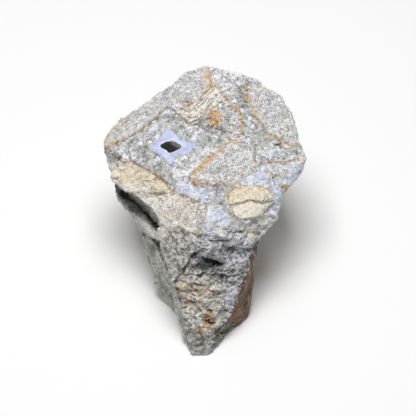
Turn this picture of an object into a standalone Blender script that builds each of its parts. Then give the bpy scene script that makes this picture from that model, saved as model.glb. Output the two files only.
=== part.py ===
"""A rough hand specimen of brecciated blue agate, as one solid.

The stone is a wedge of broken rock that rests on its flat fracture face, with its
narrow prow towards -Y. It is looked at from the front and from above, so what can
be seen is placed as the eye finds it (see seen()), and the hidden back, flanks and
base are placed in plain X, Y and Z. Every length is in millimetres until it goes
into a mesh, which is in metres.
"""

import math

import bmesh
import bpy
from mathutils import Matrix, Vector, noise

MM = 0.001

# The eye looks along +Y and down, at this point, from this far away.
EYE_ELEVATION = math.radians(50)
EYE_DISTANCE = 1733.0
AIM = Vector((1.4, -6.5, 47.2))
RIGHT = Vector((1.0, 0.0, 0.0))
UPWARD = Vector((0.0, math.sin(EYE_ELEVATION), math.cos(EYE_ELEVATION)))
TOWARD = Vector((0.0, -math.cos(EYE_ELEVATION), math.sin(EYE_ELEVATION)))

# The blocks reach this far below the base, so that the base is one clean cut.
BELOW = -2.0
# How finely the joined blocks are turned into one skin, and how many faces stay.
SKIN_CELL = 1.2
MOST_TRIANGLES = 8600
# The coarse unevenness of the fracture faces: how high it is on the level face and
# on the steep walls, and how far apart its waves are.
FACE_WAVE = 0.5
WALL_WAVE = 1.0
WAVE_LENGTH = 11.0

# The mean of the stone's greys, creams and blues, which are shown in the finish.
STONE_COLOUR = (0.44, 0.42, 0.40, 1.0)
STONE_ROUGHNESS = 0.8


def seen(across, up, toward):
    """The point that the eye finds that far across and up, and that far towards it."""
    shrink = 1 - toward / EYE_DISTANCE
    return AIM + RIGHT * (across * shrink) + UPWARD * (up * shrink) + TOWARD * toward


def as_seen(point):
    """How far across and up the eye finds a point, the other way round from seen()."""
    offset = point - AIM
    shrink = 1 - offset.dot(TOWARD) / EYE_DISTANCE
    return Vector((offset.dot(RIGHT) / shrink, offset.dot(UPWARD) / shrink))


def at(x, y, z):
    """A hidden point, measured from the point of the table that is under AIM."""
    return Vector((AIM.x + x, AIM.y + y, z))


def clear_scene():
    for old in list(bpy.data.objects):
        bpy.data.objects.remove(old)


def collection(name, is_shown=True):
    made = bpy.data.collections.new(name)
    bpy.context.scene.collection.children.link(made)
    made.hide_render = not is_shown
    return made


def hull(name, points, home):
    """A block bounded by flat fracture faces: the convex hull of its corners."""
    shape = bmesh.new()
    for point in points:
        shape.verts.new(point * MM)
    found = bmesh.ops.convex_hull(shape, input=shape.verts)
    spare = [v for v in found["geom_interior"] if isinstance(v, bmesh.types.BMVert)]
    bmesh.ops.delete(shape, geom=spare, context="VERTS")
    bmesh.ops.recalc_face_normals(shape, faces=shape.faces)
    return as_object(name, shape, home)


def as_object(name, shape, home):
    mesh = bpy.data.meshes.new(name)
    shape.to_mesh(mesh)
    shape.free()
    made = bpy.data.objects.new(name, mesh)
    home.objects.link(made)
    return made


# The lumps that the stone is built up from.

def crown():
    """The broad upper mass, which carries the bright face."""
    rim = [
        seen(-52, 29, -3), seen(-52, 32.5, -6), seen(-49.5, 38, -9),
        seen(-44.3, 43.8, -13), seen(-31, 52, -17), seen(-22, 58.5, -19),
        seen(-17, 63.6, -20), seen(-11.5, 68, -21), seen(0, 71.2, -22),
        seen(12, 69, -22), seen(24, 64.5, -21), seen(35.8, 56.6, -18),
        seen(41, 49.6, -15), seen(43.5, 42, -11), seen(46, 34, -7),
        seen(48, 28.5, -4), seen(49.3, 25, -3), seen(48.5, 20.5, -2), seen(46, 16, -1),
    ]
    face = [seen(-19, 31, 4), seen(0, 21, 11), seen(24, 19, 8), seen(24, 4, 13)]
    front = [seen(3, -6, 21), seen(-4, -16, 20), seen(14, -13, 17), seen(34, 4, 8)]
    brow = [seen(-50.5, 22, -2), seen(-45, 11, 1), seen(-37, 3.5, 7), seen(-27, -6, 12)]
    underside = [
        at(-44, 38, 42), at(-36, 56, 26), at(-12, 67, 5), at(16, 65, 9),
        at(36, 54, 22), at(43, 36, 34), at(24, 8, 28), at(0, -10, 26), at(-30, 10, 40),
    ]
    return rim + face + front + brow + underside


def cheek():
    """The right-hand end of the face, where it steps in towards the prow."""
    return [
        seen(37.5, 9, 4), seen(35.8, 3, 6), seen(34, -4, 6), seen(32.8, -7.5, 5),
        seen(28.5, -13, 4), seen(23.8, -19, 4), seen(34, 14, 6), seen(14, 10, 12),
        seen(8, -18, 16), seen(22, -22, 3),
        at(25, 16, 30), at(18, 4, 24), at(0, 0, 20), at(0, 20, 30),
    ]


def prow():
    """The narrow lower front, from under the face down to the tip."""
    return [
        seen(3, -6, 21), seen(-4, -16, 20), seen(24.5, -19, 4), seen(21.5, -27, 3),
        seen(19.5, -36, 2), seen(15.5, -44, 2), seen(12, -52, 1), seen(10, -56, 0),
        seen(-25, -11, 12), seen(-24, -19, 12), seen(-21, -27, 11.5),
        seen(-16, -39, 10), seen(-12, -51, 6), seen(-11, -56, 4),
        seen(3, -38, 11), seen(-1, -54, 6),
        seen(-13.5, -61, -6), seen(-11.5, -67, -3), seen(-7.5, -74.5, 0),
        seen(-0.5, -75, 0), seen(8.5, -66.5, -8), seen(16, -58.5, -14),
        at(-16, -20, BELOW), at(-10, 0, BELOW), at(20, 0, BELOW), at(20, -12, 26),
        at(-14, 0, 40),
    ]


def shelf():
    """The rough shelf that stands out below the hollow."""
    return [
        seen(-15, -36, 11.5), seen(-6, -34.5, 13), seen(4, -34, 13), seen(12, -36, 9),
        seen(17.5, -36, 4.5), seen(-15.5, -42, 10), seen(-1, -49, 8.5), seen(12, -47, 4.5),
        seen(-13, -40, 0), seen(0, -38, 0), seen(14, -40, -2),
    ]


def flank():
    """The rusty fracture face down the right side of the prow."""
    return [
        seen(24, -21, 1), seen(23, -27, -4), seen(23, -34, -8), seen(22, -44, -11),
        seen(20, -51, -14), seen(18, -55, -16), seen(10, -56, -3), seen(14, -44, 0),
        at(20, -20, BELOW), at(19, 0, 4), at(21, 6, 26), at(4, 0, 4),
    ]


def lobe():
    """The smooth grey-green lobe behind the prow, on the left."""
    return [
        seen(-23, -22, 4), seen(-20, -32, 3), seen(-15, -43, 1), seen(-11, -53, -3),
        seen(-30.8, -22, -10), seen(-28, -32, -13), seen(-26, -40, -16),
        seen(-21.8, -46.5, -18), seen(-16.5, -53, -17),
        at(-24, -14, BELOW), at(-28, 8, BELOW), at(-31, 12, 20), at(-6, 0, 6),
        at(-8, 4, 34),
    ]


def knob():
    """The knob that stands out of the left side between the brow and the lobe."""
    return [
        seen(-27, -6, 4), seen(-25, -17, 6), seen(-31, -8, 2), seen(-31, -15, 1),
        seen(-36.5, -7.5, -9), seen(-32.8, -14, -10), seen(-31, -20, -9),
        seen(-40, -1, -13),
        at(-30, 12, 22), at(-12, 8, 24), at(-14, 6, 44),
    ]


def far_side():
    """The grey flank behind the notch under the brow, on the left."""
    return [
        seen(-46.5, 10, -15), seen(-46, 5, -17), seen(-43.5, 1.5, -18),
        seen(-36.5, -7.5, -19), seen(-33, -14, -20), seen(-36, 2, -12),
        seen(-30, -7, -10), seen(-44, 16, -10),
        at(-40, 34, 40), at(-34, 20, 20), at(-12, 10, 20), at(-12, 20, 50),
    ]


def heart():
    """The hidden mass between the crown and the base."""
    return [
        at(-16, -26, BELOW), at(-22, -14, BELOW), at(-27, 6, BELOW),
        at(-35, 30, BELOW), at(-31, 48, BELOW), at(-6, 61, BELOW), at(24, 59, BELOW),
        at(34, 44, BELOW), at(22, 20, BELOW), at(18, -8, BELOW), at(14, -32, BELOW),
        at(-43, 34, 46), at(-30, 54, 52), at(2, 62, 56), at(32, 52, 52),
        at(43, 34, 46), at(22, 8, 44), at(-32, 16, 30), at(0, -8, 50), at(-20, 6, 50),
    ]


# The chips that have broken out of it.

def notch():
    """The dark notch under the brow, on the left."""
    return [
        seen(-43, 6, -1), seen(-37, 2, 3), seen(-30, -3, 6), seen(-25.5, -9, 8),
        seen(-42, 2, 10), seen(-38, -2, 12), seen(-32, -7, 12), seen(-27, -13, 12),
        seen(-42, 6, -13), seen(-36, 2, -13), seen(-30, -4, -8), seen(-27, -9, -4),
        seen(-42, 2, -9), seen(-37, -4, -7), seen(-32, -7, -3), seen(-28, -12, 4),
    ]


def corner_pit():
    """The shadowed pit just under the left corner of the face."""
    return [
        seen(-53, 27, 4), seen(-48, 26, 6), seen(-44, 23, 6), seen(-43.5, 20.5, 6),
        seen(-48, 22, 6), seen(-53, 24, 4),
        seen(-51, 26, -4.5), seen(-46, 24, -2.5), seen(-50, 24, -4),
    ]


def front_hollow():
    """The dark hollow in the middle of the front, sharp above and open below."""
    return [
        seen(-8, -21.5, 26), seen(-2.5, -23.5, 26), seen(4.5, -25, 26), seen(9, -26.5, 24),
        seen(8, -29, 24), seen(3, -32.5, 26), seen(-9, -33, 26), seen(-12, -28, 26),
        seen(-7, -22.5, 15), seen(-2, -25, 8.5), seen(4, -26.3, 8), seen(7.5, -27.3, 11),
        seen(-9, -31, 12.5), seen(2, -31.5, 11.5),
    ]


def seam():
    """The crack over the rough shelf, right across the front."""
    return [
        seen(-15, -35.5, 20), seen(-4, -33.5, 20), seen(10, -35.5, 20), seen(18, -33.5, 20),
        seen(-15, -33.5, 20), seen(0, -31, 20), seen(18, -31.5, 20),
        seen(-13, -34.5, 8.5), seen(0, -32.8, 9), seen(17, -33, 1.5),
    ]


def tip_bite():
    """The small bite at the left of the tip, where the lobe meets the prow."""
    return [
        seen(-20, -57, 10), seen(-16, -60, 10), seen(-12, -57, 10), seen(-13, -53, 10),
        seen(-20, -57, -26), seen(-16, -60, -26), seen(-14, -57.5, -26),
        seen(-15.5, -54, -26),
    ]


def back_spall():
    """The broad spall off the back, to the right, deeper towards the base."""
    return [
        at(10, 72, 60), at(45, 46, 52), at(30, 43, -5), at(4, 58, -5),
        at(26, 54, 16), at(24, 92, 66), at(66, 60, 56), at(62, 60, -5), at(20, 92, -5),
    ]


def back_step():
    """The slanted break down the back, to the left."""
    return [
        at(-43, 47, 56), at(-14, 71, 50), at(-12, 60, -5), at(-33, 40, -5),
        at(-60, 60, 60), at(-24, 94, 54), at(-20, 94, -5), at(-60, 50, -5),
    ]


def right_break():
    """The thin wedge off the right side, under the end of the face."""
    return [
        at(47, 34, 46), at(34, 4, 40), at(25, 16, 20), at(34, 34, 24),
        at(28, 38, -5), at(19, 12, -5), at(60, 30, 50), at(50, 0, 42), at(60, 34, -5),
        at(50, 0, -5),
    ]


# The outline of the pocket's mouth, as the eye finds it, and its way in.
MOUTH = [
    (-23.6, 30.6), (-22.8, 32.2), (-21.0, 33.3), (-17.4, 33.8), (-15.2, 32.2),
    (-12.4, 30.8), (-16.2, 28.6), (-19.5, 27.3), (-20.4, 28.8), (-22.0, 29.8),
]
MOUTH_MIDDLE = Vector((-18.6, 30.8))
# Each ring of the pocket: how far towards the eye, and its size against the mouth's.
POCKET_RINGS = [(14, 1.0), (3, 1.0), (-2, 1.35), (-7, 1.3), (-12, 0.7)]
POCKET_DRIFT = Vector((-0.25, -0.55))


def pocket(home):
    """The open pocket in the chalcedony, wider inside than at its mouth."""
    shape = bmesh.new()
    rings = []
    for toward, size in POCKET_RINGS:
        depth = max(0, 3 - toward)
        middle = MOUTH_MIDDLE + POCKET_DRIFT * depth
        ring = []
        for corner in MOUTH:
            spot = middle + (Vector(corner) - MOUTH_MIDDLE) * size
            ring.append(shape.verts.new(seen(spot.x, spot.y, toward) * MM))
        rings.append(ring)
    for outer, inner in zip(rings, rings[1:]):
        for i in range(len(MOUTH)):
            j = (i + 1) % len(MOUTH)
            shape.faces.new((outer[i], outer[j], inner[j], inner[i]))
    shape.faces.new(rings[0])
    shape.faces.new(rings[-1])
    bmesh.ops.recalc_face_normals(shape, faces=shape.faces)
    return as_object("pocket", shape, home)


LUMPS = (crown, cheek, prow, shelf, flank, lobe, knob, far_side)
CHIPS = (
    notch, corner_pit, front_hollow, seam, tip_bite, back_spall, back_step, right_break,
)


def boolean(stone, cutter, operation):
    cutter.hide_render = True
    cutter.display_type = "WIRE"
    joint = stone.modifiers.new(cutter.name, "BOOLEAN")
    joint.operation = operation
    joint.object = cutter
    joint.solver = "EXACT"


def bake(thing):
    """Turns an object's modifiers into its mesh."""
    bpy.context.view_layer.update()
    finished = thing.evaluated_get(bpy.context.evaluated_depsgraph_get())
    mesh = bpy.data.meshes.new_from_object(finished)
    thing.modifiers.clear()
    thing.data = mesh


def roughen(stone):
    """Gives the flat fracture faces their coarse unevenness."""
    mesh = stone.data
    moves = []
    for vertex in mesh.vertices:
        levelness = max(0.0, vertex.normal.z)
        height = WALL_WAVE + (FACE_WAVE - WALL_WAVE) * levelness ** 2
        wave = noise.fractal(vertex.co / (WAVE_LENGTH * MM), 0.9, 2.0, 3)
        moves.append(vertex.normal * (wave * height * MM))
    for vertex, move in zip(mesh.vertices, moves):
        vertex.co += move
    mesh.update()


def cut_base(stone):
    """Cuts the stone off flat, which makes the fracture face that it rests on."""
    shape = bmesh.new()
    shape.from_mesh(stone.data)
    cut = bmesh.ops.bisect_plane(
        shape, geom=shape.verts[:] + shape.edges[:] + shape.faces[:],
        plane_co=(0, 0, 0), plane_no=(0, 0, -1), clear_outer=True,
    )
    rim = [e for e in cut["geom_cut"] if isinstance(e, bmesh.types.BMEdge)]
    bmesh.ops.contextual_create(shape, geom=rim)
    bmesh.ops.recalc_face_normals(shape, faces=shape.faces)
    shape.to_mesh(stone.data)
    shape.free()


def centre(stone):
    """Puts the origin in the middle of the base's bounding box."""
    corners = [Vector(corner) for corner in stone.bound_box]
    middle = (corners[0] + corners[6]) / 2
    stone.data.transform(Matrix.Translation((-middle.x, -middle.y, 0.0)))
    print("moved by mm", [round(-value / MM, 2) for value in middle.xy])


def finish(stone):
    material = bpy.data.materials.new("stone")
    material.use_nodes = True
    shader = material.node_tree.nodes["Principled BSDF"]
    shader.inputs["Base Color"].default_value = STONE_COLOUR
    shader.inputs["Roughness"].default_value = STONE_ROUGHNESS
    shader.inputs["Metallic"].default_value = 0.0
    stone.data.materials.clear()
    stone.data.materials.append(material)


def main():
    clear_scene()
    stones = collection("blue agate")
    blocks = collection("blocks and chips", is_shown=False)
    stone = hull("agate", heart(), stones)
    for lump in LUMPS:
        boolean(stone, hull("lump_" + lump.__name__, lump(), blocks), "UNION")
    for chip in CHIPS:
        boolean(stone, hull("chip_" + chip.__name__, chip(), blocks), "DIFFERENCE")
    bake(stone)
    skin = stone.modifiers.new("skin", "REMESH")
    skin.mode = "VOXEL"
    skin.voxel_size = SKIN_CELL * MM
    bake(stone)
    roughen(stone)
    thin = stone.modifiers.new("thin", "DECIMATE")
    thin.ratio = min(1.0, MOST_TRIANGLES / (2 * len(stone.data.polygons)))
    bake(stone)
    cut_base(stone)
    boolean(stone, pocket(blocks), "DIFFERENCE")
    bake(stone)
    centre(stone)
    finish(stone)
    print("triangles", sum(len(face.vertices) - 2 for face in stone.data.polygons))


main()
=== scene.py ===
# %% [markdown]
# # A rough piece of brecciated blue agate
#
# The real stone is one piece of broken rock. Long ago an older grey rock cracked into
# sharp fragments, and quartz and blue chalcedony grew in between and glued them
# together. Iron in the water left a thin ochre rim round each fragment, and one small
# pocket stayed open.
#
# A stone like this could be sculpted by hand or displaced by a photograph. Here it is
# made by rules: the imported solid gives the form, modifiers break up its surface, and
# listed outlines say where each fragment lies. That way every mark
# sits on the rock itself and the stone looks right from all sides.

# %% Load the imported stone
import math

import bpy
import numpy as np
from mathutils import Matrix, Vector


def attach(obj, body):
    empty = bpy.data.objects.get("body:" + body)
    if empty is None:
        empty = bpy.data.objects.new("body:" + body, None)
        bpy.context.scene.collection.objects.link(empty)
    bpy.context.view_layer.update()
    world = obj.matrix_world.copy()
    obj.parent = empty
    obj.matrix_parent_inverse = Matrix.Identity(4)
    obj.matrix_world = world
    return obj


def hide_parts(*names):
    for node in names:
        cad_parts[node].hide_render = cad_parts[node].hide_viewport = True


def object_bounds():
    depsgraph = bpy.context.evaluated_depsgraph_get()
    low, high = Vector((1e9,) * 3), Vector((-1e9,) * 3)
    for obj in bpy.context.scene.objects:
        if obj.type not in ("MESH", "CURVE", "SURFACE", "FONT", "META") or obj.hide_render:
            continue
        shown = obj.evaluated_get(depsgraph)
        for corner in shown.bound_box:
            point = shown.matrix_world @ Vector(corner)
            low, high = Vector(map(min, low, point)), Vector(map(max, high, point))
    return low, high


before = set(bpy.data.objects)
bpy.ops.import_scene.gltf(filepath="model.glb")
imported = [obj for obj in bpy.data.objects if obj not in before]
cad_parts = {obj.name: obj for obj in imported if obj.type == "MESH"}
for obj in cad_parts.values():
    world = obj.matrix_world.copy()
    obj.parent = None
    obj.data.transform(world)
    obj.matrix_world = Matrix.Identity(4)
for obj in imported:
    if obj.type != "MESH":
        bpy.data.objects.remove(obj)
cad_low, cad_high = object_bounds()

MM = 0.001
print("solid from", [round(c / MM, 1) for c in cad_low], "to", [round(c / MM, 1) for c in cad_high])

# %% [markdown]
# ## The eye
#
# The photograph was taken from far away, looking down at 50 degrees. All marks on the
# visible side are placed by the column and row where the photograph shows them, so the
# script needs to know which point of the stone is seen at which column and row. One
# pixel is half a millimetre at the middle of the stone.

# %% Where the eye is, and what it sees
EYE_ELEVATION = math.radians(50)
EYE_DISTANCE = 1733.0
AIM = np.array((1.48, -6.41, 47.2))
FRAME_PIXELS = 416
PIXELS_PER_MM = 2.0

RIGHT = np.array((1.0, 0.0, 0.0))
UPWARD = np.array((0.0, math.sin(EYE_ELEVATION), math.cos(EYE_ELEVATION)))
TOWARD = np.array((0.0, -math.cos(EYE_ELEVATION), math.sin(EYE_ELEVATION)))


def as_seen(points):
    """The column and the row at which the eye finds points, which are in mm."""
    offset = points - AIM
    shrink = 1 - offset @ TOWARD / EYE_DISTANCE
    column = FRAME_PIXELS / 2 + PIXELS_PER_MM * (offset @ RIGHT) / shrink
    row = FRAME_PIXELS / 2 - PIXELS_PER_MM * (offset @ UPWARD) / shrink
    return column, row


def step(low, high, values):
    """A soft switch from 0 at low to 1 at high."""
    t = np.clip((values - low) / (high - low), 0, 1)
    return t * t * (3 - 2 * t)


# %% [markdown]
# ## The skin
#
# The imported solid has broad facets, which suit a model that has to be light. The skin
# needs points that are closer together than the grains of the rock. A Remesh modifier
# wraps the copy in an even net, and a Smooth modifier takes the facets' edges off.

# %% Copy the solid and wrap it in a fine net
SAME_PLACE = 0.01
NET_CELL = 0.68
SMOOTH_ROUNDS = 6

bpy.ops.object.select_all(action="DESELECT")
stone = bpy.data.objects.new("rough_stone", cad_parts["agate"].data.copy())
bpy.context.scene.collection.objects.link(stone)
stone.select_set(True)
bpy.context.view_layer.objects.active = stone
bpy.ops.object.mode_set(mode="EDIT")
bpy.ops.mesh.select_all(action="SELECT")
bpy.ops.mesh.remove_doubles(threshold=SAME_PLACE * MM)
bpy.ops.object.mode_set(mode="OBJECT")


def apply_modifier(kind, **settings):
    """Adds a modifier to the stone, and applies it at once."""
    modifier = stone.modifiers.new(kind.lower(), kind)
    for name, value in settings.items():
        setattr(modifier, name, value)
    bpy.ops.object.modifier_apply(modifier=modifier.name)


apply_modifier("REMESH", mode="VOXEL", voxel_size=NET_CELL * MM)
apply_modifier("SMOOTH", factor=0.5, iterations=SMOOTH_ROUNDS)
print("net points", len(stone.data.vertices))

# %% [markdown]
# ## Working on the points
#
# A sculptor moves points with brushes. Here the points are read into arrays, moved by
# rules, and written back, so that each stroke is one line that can be changed later.
# The eye's view is found again after each round, because the points have moved.

# %% Read and write the net's points
GLANCING = -0.05
SQUARE_ON = 0.2


def read_points():
    """The points and their normals, both as arrays, the points in mm."""
    count = len(stone.data.vertices)
    points = np.empty(count * 3)
    normals = np.empty(count * 3)
    stone.data.vertices.foreach_get("co", points)
    stone.data.vertices.foreach_get("normal", normals)
    return points.reshape(-1, 3) / MM, normals.reshape(-1, 3)


def write_points(moved):
    """Puts the points, in mm, back on the mesh."""
    stone.data.vertices.foreach_set("co", (moved * MM).ravel())
    stone.data.update()


def look():
    """The points and normals, and where and how squarely the eye sees each point."""
    points, normals = read_points()
    column, row = as_seen(points)
    facing = normals @ TOWARD
    in_view = step(GLANCING, SQUARE_ON, facing)
    return points, normals, column, row, facing, in_view


points, normals, column, row, facing, in_view = look()
print("share of the points in view", round(float(in_view.mean()), 2))

# %% [markdown]
# ## Lines and outlines on the stone
#
# A fragment's outline is a short list of columns and rows. For each point of the net,
# the script works out how far it is from the outline, in millimetres, and whether it
# is inside. One such number is enough for a colour, a rim and a step in the surface.

# %% Measure from the lines
def nearest_on_line(line, is_closed=False):
    """Each point's distance to a line in mm, its side, and its place along the line."""
    corners = [np.array(corner, dtype=float) for corner in line]
    if is_closed:
        corners.append(corners[0])
    distance = np.full(len(column), np.inf)
    side = np.zeros(len(column))
    along = np.zeros(len(column))
    walked = 0.0
    for start, end in zip(corners, corners[1:]):
        run = end - start
        length = np.hypot(*run)
        across_x = column - start[0]
        across_y = row - start[1]
        share = np.clip((across_x * run[0] + across_y * run[1]) / length ** 2, 0, 1)
        gap = np.hypot(across_x - share * run[0], across_y - share * run[1])
        is_nearer = gap < distance
        turn = np.sign(run[0] * across_y - run[1] * across_x)
        distance = np.where(is_nearer, gap, distance)
        side = np.where(is_nearer, turn, side)
        along = np.where(is_nearer, walked + share * length, along)
        walked += length
    return distance / PIXELS_PER_MM, side, along / PIXELS_PER_MM, walked / PIXELS_PER_MM


def inside(outline):
    """Each point's distance to a closed outline in mm, more than 0 inside."""
    distance = nearest_on_line(outline, is_closed=True)[0]
    is_in = np.zeros(len(column), dtype=bool)
    for start, end in zip(outline, outline[1:] + outline[:1]):
        spans = (start[1] > row) != (end[1] > row)
        rise = end[1] - start[1] or 1e-9
        crossing = start[0] + (row - start[1]) * (end[0] - start[0]) / rise
        is_in ^= spans & (column < crossing)
    return np.where(is_in, distance, -distance)


def union(*fields):
    return np.maximum.reduce(fields)


def near_segment(start, end, radius):
    """How far inside a round-ended bar each point lies, in mm."""
    run = np.array(end) - np.array(start)
    share = np.clip((points - start) @ run / (run @ run), 0, 1)
    return radius - np.linalg.norm(points - start - share[:, None] * run, axis=1)


# %% [markdown]
# ## The outlines
#
# The outlines were found on the photograph, corner by corner, as an artist
# traces the shapes before painting. They are few and coarse. The finish makes their
# edges ragged, so none of the corners shows.

# %% The fragments that the visible side shows
UPPER_LEFT = [
    (96, 148), (107, 145), (121, 141), (131, 136), (141, 130), (151, 122), (158, 115),
    (164, 109), (167, 105), (168, 96), (172, 86), (160, 86), (130, 108), (108, 128),
]
TOP = [
    (172, 87), (182, 66), (204, 60), (210, 76), (212, 87), (200, 99), (190, 107),
    (181, 111), (174, 109), (167, 105),
]
STREAKED = [
    (212, 87), (224, 98), (230, 103), (216, 113), (205, 118), (192, 125), (180, 116), (189, 107),
]
GREY_BLOCK = [
    (221, 104), (231, 104), (241, 113), (244, 125), (240, 138), (231, 140), (216, 134),
    (204, 128), (200, 121), (208, 113),
]
RIGHT_HAND = [
    (246, 86), (253, 83), (264, 76), (285, 88), (300, 106), (305, 144), (286, 145),
    (279, 141), (268, 131), (259, 121), (252, 110), (247, 98),
]
TRIANGLE = [
    (229, 142), (245, 143), (252, 149), (256, 159), (259, 167), (250, 175), (241, 182),
    (231, 185), (212, 182), (193, 178), (204, 165), (216, 153),
]
CREAM_UPPER = [
    (228, 194), (231, 190), (241, 186), (255, 186), (266, 188), (273, 194), (271, 198),
    (262, 201), (252, 200), (241, 203), (233, 205), (228, 204),
]
CREAM_LOWER = [
    (232, 207), (241, 204), (250, 201), (261, 204), (272, 203), (264, 213), (254, 217),
    (244, 219), (236, 217), (232, 213),
]
SPOTTED = [
    (264, 172), (268, 168), (275, 165), (282, 168), (288, 172), (285, 178), (278, 181), (270, 178),
]
SMALL_ORANGE = [(280, 185), (290, 186), (287, 189), (282, 188)]
LOWER_LEFT = [
    (100, 176), (114, 170), (131, 160), (143, 167), (153, 173), (167, 182), (171, 188),
    (183, 197), (194, 199), (199, 202), (198, 208), (197, 221), (198, 234), (193, 254),
    (185, 267), (179, 279), (160, 262), (150, 226), (120, 196),
]
SLIVER = [(199, 202), (206, 203), (207, 213), (203, 223), (199, 234), (198, 220)]

fragment_outlines = [
    UPPER_LEFT, TOP, STREAKED, GREY_BLOCK, RIGHT_HAND, TRIANGLE, CREAM_UPPER, CREAM_LOWER,
    SPOTTED, SMALL_ORANGE, LOWER_LEFT, SLIVER,
]

# %% The other marks that the visible side shows
POCKET = [
    (161, 147), (163, 143), (168, 141), (173, 140), (176, 143), (184, 146), (181, 148),
    (173, 152), (169, 153), (166, 150),
]
CHALCEDONY = [
    (168, 128), (162, 134), (157, 139), (152, 145), (148, 148), (154, 151), (158, 155), (164, 158),
    (168, 162), (171, 165), (174, 160), (177, 156), (183, 155), (189, 153), (193, 148),
    (201, 143), (194, 142), (188, 141), (182, 139), (177, 135), (173, 130),
]
# A small spot inside the pocket, painted near white as a highlight.
POCKET_HIGHLIGHT = [(172, 140), (176, 143), (184, 146), (180, 148), (176, 147), (170, 144)]
# Pale cement. The first patch, at the near edge of the level face, is also painted light.
PALE_CEMENT_AND_LIT_PATCH = [
    [(207, 212), (214, 210), (224, 215), (230, 221), (224, 225), (214, 223), (208, 219)],
    [(238, 186), (248, 179), (257, 172), (264, 172), (264, 181), (252, 186)],
]
# Two paler patches on the chalcedony, painted as highlights.
CHALCEDONY_HIGHLIGHTS = [
    [(163, 131), (173, 129), (180, 137), (176, 140), (164, 140), (160, 137)],
    [(160, 155), (166, 155), (169, 161), (167, 163), (161, 158)],
]
BLUE_CEMENT = [
    [(235, 186), (246, 178), (258, 168), (270, 161), (290, 160), (303, 158), (300, 176),
     (291, 186), (282, 198), (278, 215), (262, 214), (274, 203), (273, 192), (266, 187),
     (255, 184), (243, 184)],
    [(207, 206), (226, 212), (231, 222), (222, 232), (204, 240), (198, 240), (204, 224)],
    [(176, 186), (186, 181), (200, 186), (215, 192), (205, 200), (192, 196), (182, 194)],
]
# White quartz patches. Those at the near edge of the level face, in columns 204 to 240 and rows 206
# to 230, are painted light.
WHITE_AND_LIT_PATCHES = [
    [(212, 72), (238, 70), (248, 80), (244, 92), (240, 100), (228, 98)],
    [(208, 206), (220, 207), (229, 216), (232, 224), (222, 222), (212, 218)],
    [(226, 242), (238, 243), (246, 240), (248, 250), (238, 254), (228, 250)],
    [(178, 160), (186, 153), (200, 150), (212, 150), (204, 163), (192, 175), (180, 182),
     (171, 176)],
    [(213, 88), (219, 88), (223, 98), (215, 108), (208, 108), (210, 97)],
    [(224, 155), (240, 151), (244, 160), (232, 167), (216, 170)],
    [(244, 182), (252, 174), (262, 168), (266, 176), (262, 184), (252, 186)],
    [(207, 208), (218, 210), (230, 219), (240, 222), (232, 230), (218, 227), (206, 222)],
    [(270, 204), (276, 196), (284, 190), (284, 200), (278, 212), (270, 214)],
    [(206, 212), (214, 210), (228, 216), (236, 224), (228, 230), (214, 228), (204, 226)],
]
BROW = [
    (105, 178), (111, 168), (122, 160), (131, 165), (153, 174), (167, 183), (170, 189),
    (164, 194), (149, 194), (130, 193), (116, 186),
]
YELLOWED = [
    [(104, 143), (112, 139), (121, 139), (128, 137), (120, 144), (112, 148), (104, 149)],
    [(186, 110), (200, 98), (212, 88), (222, 97), (214, 112), (200, 120), (192, 124), (181, 116)],
    [(202, 75), (206, 70), (212, 80), (213, 86), (206, 83)],
    [(253, 77), (262, 78), (274, 88), (268, 90), (258, 84)],
    [(243, 84), (247, 84), (249, 92), (250, 100), (246, 99)],
    [(240, 229), (250, 226), (258, 230), (256, 237), (246, 238)],
    [(110, 166), (122, 160), (143, 168), (166, 182), (170, 190), (160, 192), (140, 184),
     (118, 180)],
    [(176, 285), (192, 282), (206, 284), (214, 292), (204, 300), (196, 308), (184, 308),
     (178, 296)],
    [(228, 190), (240, 184), (266, 187), (273, 193), (262, 194), (244, 196), (232, 204)],
    [(221, 148), (214, 157), (204, 168), (196, 178), (190, 178), (197, 168), (206, 159),
     (215, 150)],
]
# Patches painted with shade: in recesses and cracks of the front, at the left corner, along cracks of
# the level face, and at the tip.
SHADED_PATCHES = [
    [(166, 230), (180, 226), (196, 234), (190, 260), (180, 279), (168, 266), (160, 250)],
    [(197, 234), (206, 240), (218, 242), (230, 240), (226, 247), (222, 254), (204, 252),
     (190, 258)],
    [(222, 262), (234, 266), (246, 268), (244, 286), (228, 284), (214, 274)],
    [(104, 147), (108, 147), (116, 151), (122, 158), (118, 162), (109, 158)],
    [(186, 121), (192, 124), (204, 121), (218, 123), (228, 130), (222, 136), (210, 132),
     (196, 127)],
    [(240, 80), (248, 78), (247, 90), (250, 104), (243, 104), (238, 96)],
    [(190, 266), (204, 262), (222, 262), (228, 272), (214, 276), (200, 274), (184, 280)],
    [(214, 326), (222, 322), (220, 330), (212, 340)],
]
PALE_CHIPS = [
    [(210, 222), (216, 221), (222, 225), (228, 232), (224, 234), (216, 229), (211, 227)],
    [(218, 230), (222, 231), (228, 240), (223, 242), (218, 235)],
    [(256, 219), (264, 214), (269, 217), (265, 226), (258, 227)],
    [(240, 229), (250, 226), (258, 230), (256, 237), (246, 238)],
    [(187, 304), (196, 301), (207, 302), (206, 312), (196, 316), (188, 317)],
    [(297, 156), (303, 153), (304, 162), (299, 167), (295, 162)],
]
REDDENED = [
    [(190, 178), (200, 183), (212, 185), (224, 184), (217, 190), (204, 190), (193, 186)],
    [(185, 97), (190, 101), (194, 106), (188, 107), (183, 101)],
]
GREENISH = [
    [(140, 160), (150, 156), (162, 162), (170, 170), (172, 180), (160, 176), (146, 168)],
    [(128, 146), (142, 144), (150, 150), (148, 156), (136, 154)],
    [(194, 148), (204, 140), (222, 138), (226, 142), (212, 152), (204, 150)],
    [(252, 130), (262, 128), (272, 138), (270, 148), (256, 146)],
    [(160, 118), (170, 112), (178, 120), (172, 127), (163, 130), (154, 136)],
    [(196, 206), (206, 204), (214, 212), (206, 222), (200, 214)],
]
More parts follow.
